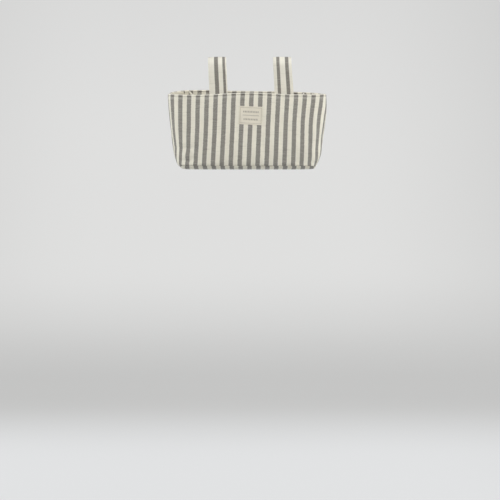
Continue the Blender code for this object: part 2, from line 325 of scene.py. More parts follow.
# Each wall's cloth settles by simulation before anything is built on it: it is held along its
# seams, cut a little large, and pushed out by the wadding

settling = {"columns": 125, "rows": 47, "frames": 20, "gravity": 0.35, "most": 0.0038,
            "sheet": {"quality": 6, "mass": 0.2, "tension_stiffness": 12, "compression_stiffness": 12,
                      "shear_stiffness": 4, "bending_stiffness": 0.4, "vertex_group_mass": "held",
                      "shrink_min": -0.0025, "use_pressure": True, "uniform_pressure_force": 1.2}}


def settle(side):
    share, rise = np.meshgrid(np.linspace(-1, 1, settling["columns"]),
                              np.linspace(0, 1, settling["rows"]))
    rim = rimOf(side, share[0])
    z = bag["seam"] + (rim - wall["stitch"] - bag["seam"]) * rise
    start, outward = wallPoints(side, share, z, 0)
    bm = clothGrid(start, np.stack([share, rise], axis=-1))
    if side == back:
        bmesh.ops.reverse_faces(bm, faces=bm.faces)
    mesh = meshOf("settling", bm)
    sheet = addObject("settling", mesh)
    width = halfArc(side, share, z)
    fromSeam = np.minimum(np.minimum(z - bag["seam"], z[-1] - z), (1 - np.abs(share)) * width)
    held = sheet.vertex_groups.new(name="held")
    for k, gap in enumerate(fromSeam.ravel()):
        held.add([k], 1.0 if gap < 0.0005 else 0.0, "REPLACE")
    sim = sheet.modifiers.new("cloth", "CLOTH")
    for key, value in settling["sheet"].items():
        setattr(sim.settings, key, value)
    sim.settings.effector_weights.gravity = settling["gravity"]
    sim.point_cache.frame_start, sim.point_cache.frame_end = 1, settling["frames"]
    for frameNumber in range(1, settling["frames"] + 1):
        bpy.context.scene.frame_set(frameNumber)
    final = sheet.evaluated_get(bpy.context.evaluated_depsgraph_get())
    places = np.zeros(start.size)
    final.to_mesh().vertices.foreach_get("co", places)
    moved = places.reshape(start.shape) - start
    final.to_mesh_clear()
    bpy.data.objects.remove(sheet)
    bpy.data.meshes.remove(mesh)
    bpy.context.scene.frame_set(1)
    out = (moved * outward).sum(axis=-1)
    for smoothing in range(2):
        # lightly, so that the layers behind can follow
        padded = np.pad(out, 1, mode="edge")
        out = (padded[:-2, 1:-1] + padded[2:, 1:-1] + padded[1:-1, :-2] + padded[1:-1, 2:] + 4 * out) / 8
    print("settled", side, "out by", out.min().round(5), "to", out.max().round(5))
    return settling["most"] * np.tanh(out / settling["most"])


for side in (front, back):
    settled[side] = settle(side)


# Materials

def mathOn(tree):
    def calc(operation, *values):
        node = tree.nodes.new("ShaderNodeMath")
        node.operation = operation
        for k, value in enumerate(values):
            if isinstance(value, bpy.types.NodeSocket):
                tree.links.new(value, node.inputs[k])
            else:
                node.inputs[k].default_value = value
        return node.outputs[0]
    return calc


def srgb(r, g, b):
    parts = [c / 255 for c in (r, g, b)]
    return tuple(c / 12.92 if c <= 0.04 else ((c + 0.055) / 1.055) ** 2.4 for c in parts) + (1,)


def clothNoise(tree, u, v, scaleU, scaleV, detail=2.0):
    calc = mathOn(tree)
    place = tree.nodes.new("ShaderNodeCombineXYZ")
    tree.links.new(calc("MULTIPLY", u, scaleU), place.inputs[0])
    tree.links.new(calc("MULTIPLY", v, scaleV), place.inputs[1])
    node = tree.nodes.new("ShaderNodeTexNoise")
    node.inputs["Scale"].default_value = 1
    node.inputs["Detail"].default_value = detail
    tree.links.new(place.outputs[0], node.inputs["Vector"])
    return node.outputs["Fac"]


def blend(tree, factor, a, b):
    node = tree.nodes.new("ShaderNodeMix")
    node.data_type = "RGBA"
    for name, value in (("Factor", factor), ("A", a), ("B", b)):
        socket = next(s for s in node.inputs if s.name == name and s.enabled)
        if isinstance(value, bpy.types.NodeSocket):
            tree.links.new(value, socket)
        else:
            socket.default_value = value
    return next(s for s in node.outputs if s.enabled)


def ramp(tree, value, low, high, toLow=0.0, toHigh=1.0):
    node = tree.nodes.new("ShaderNodeMapRange")
    node.interpolation_type = "SMOOTHSTEP"
    tree.links.new(value, node.inputs["Value"])
    for name, number in (("From Min", low), ("From Max", high), ("To Min", toLow), ("To Max", toHigh)):
        node.inputs[name].default_value = number
    return node.outputs["Result"]


def near(tree, value, middle, inner, outer, much=1.0):
    # much up to the inner distance from the middle, and fading to nothing at the outer
    calc = mathOn(tree)
    off = calc("ABSOLUTE", calc("SUBTRACT", value, middle))
    return ramp(tree, off, inner, outer, much, 0.0)


def bumped(tree, height, strength, distance, under=None):
    node = tree.nodes.new("ShaderNodeBump")
    node.inputs["Strength"].default_value = strength
    node.inputs["Distance"].default_value = distance
    tree.links.new(height, node.inputs["Height"])
    if under is not None:
        tree.links.new(under, node.inputs["Normal"])
    return node.outputs["Normal"]


def newMaterial(name, roughness, shine):
    material = bpy.data.materials.new(name)
    material.use_nodes = True
    tree = material.node_tree
    face = tree.nodes["Principled BSDF"]
    face.inputs["Roughness"].default_value = roughness
    face.inputs["Specular IOR Level"].default_value = shine
    return material, tree, face


def clothPlace(tree):
    # the cloth's own coordinates: across its stripes, and along them
    place = tree.nodes.new("ShaderNodeUVMap")
    place.uv_map = "cloth"
    split = tree.nodes.new("ShaderNodeSeparateXYZ")
    tree.links.new(place.outputs["UV"], split.inputs[0])
    return split.outputs[0], split.outputs[1]


def scaled(colour, much):
    return tuple(min(1, c * much) for c in colour[:3]) + (1,)


def stripeMask(tree, u, v, stripe):
    # 1 on the grey: bands at given places, or a pitch with ragged edges
    calc = mathOn(tree)
    if "bands" in stripe:
        mask = 0.0
        for middle, width in stripe["bands"]:
            mask = calc("MAXIMUM", near(tree, u, middle, width / 2 - 0.0005, width / 2 + 0.0005), mask)
        return mask
    pitch, half = stripe["pitch"], stripe["width"] / 2
    drift = calc("MULTIPLY", calc("SUBTRACT", clothNoise(tree, u, v, 12, 240, 3.0), 0.5), 0.0020)
    moved = calc("ADD", calc("ADD", u, drift), pitch / 2 - stripe["shift"])
    within = calc("MODULO", calc("ADD", moved, 50 * pitch), pitch)
    return near(tree, within, pitch / 2, half - 0.0006, half + 0.0006)


cloth = {"thread": 0.00085, "roughness": 0.92, "shine": 0.25, "sheen": 0.10, "weaveDepth": 0.00016}


def wovenMaterial(name, ground, slub, stripe=None, thread=cloth["thread"], creases=0.0005, foldHighlightAt=None,
                  channel=None):
    # plain weave; stripe gives its colours, pitch, width and shift
    material, tree, face = newMaterial(name, cloth["roughness"], cloth["shine"])
    calc = mathOn(tree)
    u, v = clothPlace(tree)

    # each crossing shows its warp or its weft
    warp = calc("SINE", calc("MULTIPLY", u, math.pi / thread))
    weft = calc("SINE", calc("MULTIPLY", v, math.pi / thread))
    crossing = calc("MULTIPLY", warp, weft)
    warpTone = clothNoise(tree, u, v, 1 / thread, 14)
    weftTone = clothNoise(tree, u, v, 26, 1 / thread)
    slubs = ramp(tree, clothNoise(tree, u, v, 42, 520, 3.0), 0.54, 0.72)
    pulled = ramp(tree, clothNoise(tree, u, v, 16, 330, 2.0), 0.56, 0.67)
    mottle = clothNoise(tree, u, v, 30, 30, 3.0)

    shade = calc("ADD", calc("MULTIPLY", warpTone, 0.5), calc("MULTIPLY", mottle, 0.5))
    colour = blend(tree, ramp(tree, shade, 0.36, 0.64), scaled(ground, 0.95), scaled(ground, 1.03))
    colour = blend(tree, calc("MULTIPLY", slubs, 0.3), colour, slub)
    colour = blend(tree, calc("MULTIPLY", pulled, 0.45), colour, scaled(ground, 0.82))
    if stripe:
        mask = stripeMask(tree, u, v, stripe)
        top = calc("ADD", calc("MULTIPLY", crossing, 0.5), calc("MULTIPLY", weftTone, 0.9))
        yarn = blend(tree, ramp(tree, top, 0.15, 0.75), stripe["dark"], stripe["light"])
        yarn = blend(tree, calc("MULTIPLY", slubs, 0.45), yarn, stripe["slub"])
        yarn = blend(tree, calc("MULTIPLY", pulled, 0.5), yarn, stripe["dark"])
        colour = blend(tree, mask, colour, yarn)
    if foldHighlightAt:
        # painted highlight where a fold's rounded edge catches the light: which way it is measured, place,
        # reach and how much
        way, place, reach, much = foldHighlightAt
        line = calc("ABSOLUTE", u if way == "across" else v)
        foldHighlight = calc("MULTIPLY", near(tree, line, place, reach * 0.3, reach), much)
        foldHighlight = calc("MULTIPLY", foldHighlight, ramp(tree, weftTone, 0.2, 0.6, 0.6, 1.0))
        colour = blend(tree, foldHighlight, colour, creamSlub)
    if channel:
        # painted shade in a sewn channel beside the fold, darkest on the stripes, and a paler strip past it
        place, reach, past = channel["place"], channel["reach"], channel["past"]
        line = calc("ABSOLUTE", v)
        held = calc("MULTIPLY", near(tree, line, place, reach * 0.4, reach),
                    ramp(tree, mask, 0, 1, channel["onGround"], channel["onStripe"]))
        colour = blend(tree, held, colour, channel["shade"])
        colour = blend(tree, near(tree, line, place + past, 0.0008, 0.0042, 0.16), colour, creamSlub)
    tree.links.new(colour, face.inputs["Base Color"])

    height = calc("ADD", calc("MULTIPLY", crossing, 0.5), calc("MULTIPLY", weftTone, 1.2))
    height = calc("ADD", height, calc("MULTIPLY", slubs, 0.8))
    soft = bumped(tree, clothNoise(tree, u, v, 110, 70, 4.0), 0.5, creases)
    tree.links.new(bumped(tree, height, 0.55, cloth["weaveDepth"], soft), face.inputs["Normal"])
    face.inputs["Sheen Weight"].default_value = cloth["sheen"]
    face.inputs["Sheen Roughness"].default_value = 0.5
    return material


cream, creamSlub = srgb(229, 224, 208), srgb(236, 232, 220)
stripes = {"pitch": 0.022, "width": 0.0109, "shift": 0.0, "dark": srgb(119, 115, 108),
           "light": srgb(158, 154, 147), "slub": srgb(186, 182, 172)}
# painted shade for the sewn channel below the rim: where, its reach, where the paler strip lies, how much on
# the ground and on the stripes, and its colour
rimChannel = {"place": 0.0050, "reach": 0.0014, "past": 0.0045, "onGround": 0.24, "onStripe": 0.70,
              "shade": srgb(58, 48, 42)}
# the rim's fold carries a painted highlight, and the sewn channel below it painted shade
wallCloth = wovenMaterial("striped cotton", cream, creamSlub, stripes,
                          foldHighlightAt=("along", 0, 0.0032, 0.62), channel=rimChannel)
baseCloth = wovenMaterial("striped cotton base", cream, creamSlub, dict(stripes, shift=0.0025))
liningCloth = wovenMaterial("lining cotton", srgb(222, 216, 199), srgb(232, 228, 214), thread=0.0006,
                            creases=0.0012)
bindingCloth = wovenMaterial("binding tape", srgb(228, 222, 206), srgb(236, 232, 220), thread=0.0005)


def speckled(name, dark, light, scale, relief, roughness):
    # fibres, felt, board and thread: two tones mixed by a fine noise over Object coordinates
    material, tree, face = newMaterial(name, roughness, 0.3)
    place = tree.nodes.new("ShaderNodeTexCoord")
    fleck = tree.nodes.new("ShaderNodeTexNoise")
    fleck.inputs["Scale"].default_value = scale
    fleck.inputs["Detail"].default_value = 4
    tree.links.new(place.outputs["Object"], fleck.inputs["Vector"])
    tone = blend(tree, ramp(tree, fleck.outputs["Fac"], 0.35, 0.65), dark, light)
    tree.links.new(tone, face.inputs["Base Color"])
    tree.links.new(bumped(tree, fleck.outputs["Fac"], 0.8, relief), face.inputs["Normal"])
    return material


sewingThread = speckled("sewing thread", srgb(205, 199, 184), srgb(238, 234, 222), 1500, 0.0001, 0.7)
print("materials made")


# Outer walls: one cloth up the outside, over the rim and down inside as a facing

def clothMarks(side, share, z, run):
    # places on the flat cloth: across its stripes, and along them from the fold at the rim
    along = share * halfArc(side, share, z)
    taken = np.where(share < 0, through(bag["easedLeft"])(z), through(bag["easedRight"])(z))
    along = along + taken * share ** 5
    if side == front:
        drawn = [reach * np.abs(share) ** power * np.exp(-((z - high) / tall) ** 2)
                 for reach, power, high, tall in bag["drawn"]]
        along = along + np.where(share < 0, -drawn[0], drawn[1])
    return np.stack([(along - bag["middle"] + bag["lean"] * (0.184 - z)) * -side, run], axis=-1)


def wallRows():
    # what the height is counted from, its value, how far in, and which way the cloth faces
    roll, inner, stitch = wall["thick"] / 2, wall["thick"], wall["stitch"]
    rows = [("share", 0.0, 0.0011, 1), ("share", 0.006, 0.0004, 1), ("share", 0.018, 0.0, 1)]
    rows += [("share", 0.03 + 0.97 * (k / wall["rows"]) ** 1.1, 0, 1) for k in range(wall["rows"] + 1)]
    # the groove of the stitching, outside
    rows += [("drop", stitch + below, inset, 1)
             for below, inset in ((0.0018, 0), (0.0008, 0.00015), (0, 0.00085), (-0.0008, 0.00008),
                                  (-0.0015, -0.00022))]
    for k in range(9):
        turn = math.pi * k / 8
        rows.append(("drop", roll - roll * math.sin(turn), roll - roll * math.cos(turn), math.cos(turn)))
    # and inside, down to the hem
    rows += [("drop", stitch + below, inner + inset, -1)
             for below, inset in ((-0.0014, 0.0002), (-0.0007, -0.00005), (0, -0.00055), (0.0007, -0.00008))]
    plain = wall["hem"] - stitch - 0.003
    rows += [("drop", stitch + 0.0025 + plain * k / 6, inner, -1) for k in range(7)]
    rows += [("drop", wall["hem"] + 0.0002, inner - 0.0004, -1), ("drop", wall["hem"], inner - 0.0012, -1)]
    return rows


def makeWall(name, side, node):
    share = sideColumns(side, wall["columns"])
    rim = rimOf(side, share)
    foot, top = bag["seam"], rim - wall["stitch"] - 0.003
    points, marks = [], []
    for kind, value, inset, face in wallRows():
        z = foot + (top - foot) * value if kind == "share" else rim - value
        place, outward = wallPoints(side, share, z, inset + face * tuckAt(side, share, z))
        points.append(place)
        marks.append(clothMarks(side, share, z, z - rim if face > 0 else rim - z))
    bm = clothGrid(np.array(points), np.array(marks))
    thicken(newPiece(name, bm, wallCloth, [node]), wall["cloth"])


makeWall("frontPanel", front, "front_wall")
makeWall("backPanel", back, "back_wall")
print("walls made")


# Layers behind the outer cloth: wadding, and the plain inner bag

layers = {"waddingIn": 0.0018, "wadding": 0.0023, "liningIn": 0.0062, "lining": 0.0006,
          "liningTop": 0.0225, "floor": 0.0072, "endTop": 0.0024, "endShare": {front: 0.60, back: 0.67}}


def innerSheet(name, side, material, node, place, thickness, count):
    # place(share, rim, rise) gives the height and how far in, for rows from 0 at the foot to 1 at the top
    share = sideColumns(-side, 150, ends=(0.001, 0.003))
    rim = rimOf(side, share)
    points, marks = [], []
    for rise in np.linspace(0, 1, count):
        z, inset = place(side, share, rim, rise)
        spot, outward = wallPoints(side, share, z, inset)
        crease = 0.0009 * eased((rim - 0.03 - z) / 0.02)
        along = share * halfArc(side, share, z)
        ripple = crease * rough(along / 0.030, z / 0.055, 41.3 + side)
        ripple += 0.6 * crease * rough(along / 0.012, z / 0.016, 47.1 + side) * np.exp(-(z - 0.006) / 0.02)
        points.append(spot - outward * ripple[:, None])
        marks.append(np.stack([along * side, z], axis=-1))
    bm = clothGrid(np.array(points), np.array(marks))
    return thicken(newPiece(name, bm, material, [node]), thickness)


def liningPlace(side, share, rim, rise):
    # under the facing in the middle, and up over it to the rim in the two end compartments
    ends = eased((np.abs(share) - layers["endShare"][side]) / 0.025)
    foot = layers["floor"] - 0.0004
    top = rim - layers["liningTop"] * (1 - ends) - layers["endTop"] * ends
    z = foot + (top - foot) * rise
    inset = layers["liningIn"] + 0.0030 * np.exp(-(z - foot) / 0.0015)
    inset = inset - 0.0015 * (1 - ends) * eased((z - rim + 0.0275) / 0.004)
    over = 0.0010 * eased((z - rim + 0.031) / 0.004) - 0.0011 * eased((z - top + 0.0016) / 0.0016)
    inset = inset + ends * over
    return z, inset


def waddingPlace(side, share, rim, rise):
    foot = bag["seam"] + 0.0016
    return foot + (rim - 0.0075 - foot) * rise, layers["waddingIn"] + layers["wadding"]


waddingFill = speckled("wadding", srgb(236, 234, 228), srgb(248, 247, 243), 900, 0.0006, 0.95)
for side, end in ((front, "Front"), (back, "Back")):
    innerSheet("lining" + end, side, liningCloth, "lining_" + end.lower(),
               liningPlace, layers["lining"], 60)
    filling = innerSheet("wadding" + end, side, waddingFill, "wadding_" + end.lower(),
                         waddingPlace, layers["wadding"], 48)
print("wadding and lining made")


# Base: an outer panel with a rounded edge, a board, and the lining over it

base = {"left": 0.1706, "right": 0.1664, "depth": 0.0496, "power": 3.8, "shift": 0.0079}


def basePoint(s, t, inset):
    # where the seam's outline lies in a direction given on the unit square, and this far inside it
    n = base["power"]
    half = base["left"] if s < 0 else base["right"]
    m = max((abs(s) ** n + abs(t) ** n) ** (1 / n), 1e-9)
    x, y = half * s / m, base["depth"] * t / m
    normal = Vector((math.copysign(abs(x / half) ** (n - 1) / half, x),
                     math.copysign(abs(y / base["depth"]) ** (n - 1) / base["depth"], y))).normalized()
    return Vector((x, y)) - normal * inset


def spread(count, places):
    # grid lines from -1 to 1, even in the middle and one at each place of the edge
    middle = list(np.linspace(-places[0], places[0], count - 2 * (len(places) - 1) + 1))
    return [-p for p in places[:0:-1]] + middle + list(places[1:])


def flatCloth(edge, level, ripple, cells=(150, 50), seed=8.8):
    # edge: (place from the middle, how far in, height); inside its first row the cloth lies at one level
    bm = bmesh.new()
    uv = bm.loops.layers.uv.new("cloth")
    bmesh.ops.create_grid(bm, x_segments=cells[0], y_segments=cells[1], size=1)
    places, insets, heights = zip(*edge)
    lips = np.concatenate([[0], np.cumsum(np.hypot(np.diff(insets), np.diff(heights)))])
    sLine, tLine = spread(cells[0], places), spread(cells[1], places)
    spots = {}
    for vert in bm.verts:
        s = sLine[round((vert.co.x + 1) / 2 * cells[0])]
        t = tLine[round((vert.co.y + 1) / 2 * cells[1])]
        m = max(abs(s), abs(t), 1e-6)
        x, y = basePoint(s / m, t / m, float(np.interp(m, places, insets))) * min(1.0, m / places[0])
        z = float(np.interp(m, places, heights)) if m > places[0] else level
        fold = noise.noise(Vector((x / 0.05, y / 0.03, seed)))
        fold += 0.5 * noise.noise(Vector((x / 0.014, y / 0.012, seed + 3)))
        vert.co = (x, y, z + ripple * (0.6 + fold) * min(1, (1 - m) * 6))
        lip = float(np.interp(m, places, lips)) if abs(t) >= abs(s) else 0
        spots[vert] = (x - bag["middle"] + base["shift"], y + math.copysign(lip, t))
    for face in bm.faces:
        for loop in face.loops:
            loop[uv].uv = spots[loop.vert]
    return bm


under = [(0.9, 0.0125, 0.0001), (0.92, 0.0098, 0.0001), (0.94, 0.0072, 0.0004), (0.955, 0.0046, 0.0011),
         (0.97, 0.0025, 0.0022), (0.982, 0.0010, 0.0034), (0.991, 0.0004, 0.0044), (1, 0.0010, 0.0050)]
bm = flatCloth(under, 0.0001, 0.0002)
bmesh.ops.reverse_faces(bm, faces=bm.faces)
thicken(newPiece("basePanel", bm, baseCloth, ["base_panel"]), wall["cloth"])

board = {"thick": 0.0032, "bevel": 0.0008,
         "edge": [(0.93, 0.0075, 0.0061), (0.95, 0.0066, 0.0060), (1, 0.0062, 0.0056)]}
bm = flatCloth(board["edge"], 0.0061, 0.00005, cells=(90, 30))
boardFibre = speckled("grey board", srgb(128, 120, 106), srgb(160, 152, 136), 700, 0.0002, 0.85)
thicken(newPiece("baseBoard", bm, boardFibre, ["base_board"]), board["thick"],
        bevel=board["bevel"])

over = [(0.90, 0.0145, 0.0078), (0.93, 0.0110, 0.0078), (0.955, 0.0088, 0.0081), (0.975, 0.0075, 0.0089),
        (1, 0.0067, 0.0098)]
bm = flatCloth(over, 0.0077, 0.0007, seed=21.4)
thicken(newPiece("liningBase", bm, liningCloth, ["lining_base"]), layers["lining"])
print("base made")


# Tape folded over an edge

def sweptTube(name, line, halfWide, halfHigh, material, slotName):
    # rounded, a little wavy, closed at both ends
    count, around = len(line), 15
    forward = unit(np.gradient(line, axis=0))
    sideways = unit(np.cross(forward, (0, 0, 1.0)))
    lift = np.cross(sideways, forward)
    run = lengthAlong(line)
    turn = np.linspace(0, 2 * math.pi, around)
    points, marks = np.zeros((count, around, 3)), np.zeros((count, around, 2))
    for k in range(count):
        wave = 1 + 0.10 * noise.noise(Vector((run[k] / 0.006, 3.3, 1.2)))
        for j, a in enumerate(turn):
            flat = math.copysign(abs(math.cos(a)) ** 0.8, math.cos(a))
            points[k, j] = (line[k] + sideways[k] * halfWide * wave * flat
                            + lift[k] * (halfHigh * wave * math.sin(a) - halfHigh * 0.35))
            marks[k, j] = (run[k], 0.008 * j / around)
    return newPiece(name, closedTube(points, marks), material, ())


# Dividers of the two end compartments, with a bound top edge

divider = {"thick": 0.0022, "foot": 0.0095, "drop": 0.004, "tape": (0.0017, 0.0021),
           "rows": 40, "columns": 27,
           # x at the foot and at the top, where it meets the front and where it meets the back
           "left": ((-0.1100, -0.1280), (-0.1260, -0.1490)), "right": ((0.1050, 0.1225), (0.1200, 0.1390))}


def makeDivider(name, places, node, seed):
    rows, columns = divider["rows"], divider["columns"]
    rise = np.linspace(0, 1, rows)
    ends = []
    for side, (low, high) in zip((front, back), places):
        top = rimOf(side, shareAt(side, high, 0.185)) - divider["drop"]
        z = divider["foot"] + (top - divider["foot"]) * rise
        ends.append(facing(side, low + (high - low) * rise, z, layers["liningIn"] + 0.0012)[0])
    points, marks = np.zeros((rows, columns, 3)), np.zeros((rows, columns, 2))
    for r in range(rows):
        for c in range(columns):
            across = c / (columns - 1)
            spot = ends[0][r] * (1 - across) + ends[1][r] * across
            bow = math.sin(math.pi * across)
            wave = 0.0035 * noise.noise(Vector((across * 1.7, rise[r] * 1.6, seed)))
            wave += 0.0010 * noise.noise(Vector((across * 6, rise[r] * 5, seed + 4)))
            spot[0] += bow * (wave + 0.0022 * math.sin(math.pi * rise[r]))
            spot[2] -= 0.0022 * bow * rise[r]
            points[r, c] = spot
            marks[r, c] = (across * 0.11, spot[2])
    piece = newPiece(name, clothGrid(points, marks), liningCloth, [node])
    thicken(piece, divider["thick"], offset=0)
    sweptTube(name + "Binding", points[-1], *divider["tape"], bindingCloth, "binding_tape")


makeDivider("dividerLeft", divider["left"], "divider_left", 5.5)
makeDivider("dividerRight", divider["right"], "divider_right", 9.9)
print("dividers made")


# Slip pocket on the inside of the back wall, full at its top, with a taped edge

pocket = {"width": 0.170, "foot": 0.045, "top": 0.150, "gap": 0.010, "sag": 0.0035, "thick": 0.0008,
          "tape": (0.0011, 0.0046), "columns": 90, "rows": 44}


def makePocket():
    rows, columns = pocket["rows"], pocket["columns"]
    across = np.linspace(-1, 1, columns)
    points, marks = np.zeros((rows, columns, 3)), np.zeros((rows, columns, 2))
    for r, rise in enumerate(np.linspace(0, 1, rows)):
        x = across * pocket["width"] / 2
        z = pocket["foot"] + (pocket["top"] - pocket["foot"]) * rise
        sag = pocket["sag"] * rise ** 2 * (1 - across ** 2)
        full = eased((1 - np.abs(across)) / 0.45) * eased(rise * 2.2) * (0.35 + 0.65 * rise)
        fold = rough(x / 0.022, rise, 61.0) * 0.0016 * eased(rise * 3)
        fold = fold + rough(x / 0.009, rise * 3, 66.0) * 0.0007
        edge = eased((1 - np.abs(across)) / 0.06) * eased(rise / 0.05)
        deep = layers["liningIn"] + 0.0010 + 0.0006 * edge + full * pocket["gap"] + fold * edge
        points[r] = facing(back, x, z - sag, deep)[0]
        marks[r] = np.stack([-x * 1.03, z + across * 0], axis=-1)
    # its face looks into the bag
    piece = newPiece("slipPocket", clothGrid(points, marks), liningCloth, ["slip_pocket"])
    thicken(piece, pocket["thick"])
    tape = sweptTube("pocketBinding", points[-1], *pocket["tape"], bindingCloth, "binding_tape")
    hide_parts("pocket_binding")


makePocket()
print("pocket made")


# Straps: sewn inside the back wall, up and round in a loop, and down behind the wall

strap = {"half": 0.0228, "thick": 0.0024, "inIn": 0.0072, "inDrop": 0.030, "outDrop": 0.060,
         "outIn": -0.0046, "loopY": 0.0548, "loopZ": 0.2645, "loopRadius": 0.0197, "rows": 170,
         "stitch": 0.0032}
strapSides = {
    "left": {"foot": -0.0757, "rim": -0.0764, "top": -0.0798, "flare": 0.0002,
             "bands": [(-0.0029, 0.0100), (0.0163, 0.0066)]},
    "right": {"foot": 0.0893, "rim": 0.0885, "top": 0.0838, "flare": 0.0011,
              "bands": [(-0.0110, 0.0078), (0.0108, 0.0088)]},
}


def strapLine(name):
    # the middle of the strap: (x, y, z) from its inner end to its outer end, evenly spaced
    spec = strapSides[name]
    rim = float(rimOf(back, shareAt(back, spec["rim"], 0.195)))
    centre = through([(0.139, spec["foot"]), (rim, spec["rim"]), (strap["loopZ"] + 0.02, spec["top"]),
                      (0.30, spec["top"])])

    def beside(z, inset):
        x = float(centre(z))
        return [x, facing(back, x, z, inset)[0][1], z]

    line = [beside(z, strap["inIn"]) for z in np.linspace(rim - strap["inDrop"], rim - 0.001, 9)]
    for a in np.linspace(math.radians(195), math.radians(-15), 25):
        z = strap["loopZ"] + strap["loopRadius"] * math.sin(a)
        line.append([float(centre(z)), strap["loopY"] + strap["loopRadius"] * math.cos(a), z])
    line += [beside(z, strap["outIn"]) for z in np.linspace(rim + 0.001, rim - strap["outDrop"], 14)]
    line = np.array(line)
    for smoothing in range(3):
        run = lengthAlong(line)
        even = np.linspace(0, run[-1], strap["rows"])
        line = np.stack([np.interp(even, run, line[:, k]) for k in range(3)], axis=1)
        for step in range(6):
            line[1:-1] = line[1:-1] * 0.5 + (line[:-2] + line[2:]) * 0.25
    return line


def strapSection():
    # across and out of the face, once round a folded double cloth that is sewn along both edges
    w, h, e = strap["half"], strap["thick"] / 2, strap["stitch"]
    rightHalf = [(x, h) for x in (0, 0.003, 0.006, 0.009, 0.012, 0.015)]
    rightHalf += [(w - e - 0.0018, h * 1.03), (w - e - 0.0008, h * 0.98), (w - e, h * 0.72),
                  (w - e + 0.0008, h * 0.96), (w - e + 0.0015, h)]
    rightHalf += [(w - h + h * math.cos(a), h * math.sin(a)) for a in np.radians([80, 60, 40, 20, 0])]
    top = [(-x, y) for x, y in rightHalf[:0:-1]] + rightHalf
    return top + [(x, -y) for x, y in top[-2:0:-1]] + [top[0]]


def strapFrame(name):
    # the length run, and the middle, outward and crosswise directions at each place along it
    line = strapLine(name)
    forward = unit(np.gradient(line, axis=0))
    out = unit(np.stack([np.zeros(len(line)), -forward[:, 2], forward[:, 1]], axis=1))
    return lengthAlong(line), line, out, np.cross(forward, out)


strapFrames = {name: strapFrame(name) for name in strapSides}


def strapPoints(name, w, at, h):
    # points on the strap: across, along from the inner end, and out of its middle
    w, at, h = floats(w, at, h)
    run, *lines = strapFrames[name]
    middle, out, across = [np.stack([np.interp(at, run, line[:, k]) for k in range(3)], axis=-1)
                           for line in lines]
    free = eased(np.minimum(at - 0.03, run[-1] - 0.058 - at) / 0.02)
    wide = 1 + strapSides[name]["flare"] / strap["half"] * np.exp(-((at - 0.03) / 0.045) ** 2)
    seed = 2.0 if name == "left" else 7.0
    cup = free * (0.0010 * rough(w / 0.03, at / 0.05, seed) - 0.0009 * (w / strap["half"]) ** 2)
    cup = cup + 0.00022 * rough(w / 0.010, at / 0.008, seed + 2)
    pull = 0.00035 * rough(at / 0.018, w * 20, seed + 5)
    return middle + out * (h + cup)[..., None] + across * (w * wide + pull)[..., None], out


def makeStrap(name):
    section = np.array(strapSection())
    length = strapFrames[name][0][-1]
    places = np.concatenate([[0, 0.0004, 0.0010], np.linspace(0.002, length - 0.002, strap["rows"]),
                             [length - 0.0010, length - 0.0004, length]])
    end = np.minimum(1, np.minimum(places, length - places) / 0.0012)
    thin = 0.04 + 0.96 * np.sqrt(1 - (1 - end) ** 2)
    at, w = np.meshgrid(places, section[:, 0], indexing="ij")
    points = strapPoints(name, w, at, section[:, 1] * thin[:, None])[0]
    bm = closedTube(points, np.stack([w, at], axis=-1))
    # the walls' cloth painted a lighter cream, for the less light that falls on the strap's downward-facing
    # face, with a painted highlight along its folded edges
    lightenedStrapCloth = wovenMaterial("striped cotton strap " + name, srgb(240, 236, 223), srgb(244, 241, 232),
                           dict(stripes, bands=strapSides[name]["bands"]),
                           foldHighlightAt=("across", strap["half"], 0.0016, 0.5))
    newPiece("strap" + name.capitalize(), bm, lightenedStrapCloth, ["strap_" + name])


for name in strapSides:
    makeStrap(name)
print("straps made")


# Hook and loop patches between each strap's outer end and the back wall

patch = {"half": 0.0190, "low": 0.1455, "high": 0.1845, "thick": 0.0011,
         "bevel": 0.0003, "loopIn": -0.0013, "hookIn": -0.0027}
hookFibre = speckled("hook tape", srgb(196, 190, 176), srgb(226, 221, 208), 1300, 0.0006, 0.6)
loopFibre = speckled("loop tape", srgb(206, 200, 187), srgb(236, 232, 221), 800, 0.0008, 0.95)


def makePatch(name, xCentre, inset, material, node):
    z, x = np.meshgrid(np.linspace(patch["low"], patch["high"], 26),
                       xCentre - np.linspace(-patch["half"], patch["half"], 24), indexing="ij")
    points, marks = facing(back, x, z, inset)[0], np.stack([x, z], axis=-1)
    piece = newPiece(name, clothGrid(points, marks), material, [node])
    thicken(piece, patch["thick"], bevel=patch["bevel"])


for name, spec in strapSides.items():
    middleX = (spec["foot"] + spec["rim"]) / 2
    makePatch("loopPatch" + name.capitalize(), middleX, patch["loopIn"], loopFibre, "loop_patch_" + name)
    makePatch("hookPatch" + name.capitalize(), middleX, patch["hookIn"], hookFibre, "hook_patch_" + name)
print("patches made")


# Label: a folded piece of plain cloth sewn on the front, slightly turned

label = {"x": 0.0048, "z": 0.1283, "wide": 0.0572, "high": 0.0452, "turn": 2.6, "lift": 0.0011,
         "thick": 0.0007, "border": (0.0026, 0.0036)}


def labelPoints(a, b, lift):
    # a and b run from -1 to 1 across and up the label
    turn = math.radians(label["turn"])
    x, z = a * label["wide"] / 2, b * label["high"] / 2
    x, z = x * math.cos(turn) + z * math.sin(turn), z * math.cos(turn) - x * math.sin(turn)
    return facing(front, x + label["x"], z + label["z"], -lift)


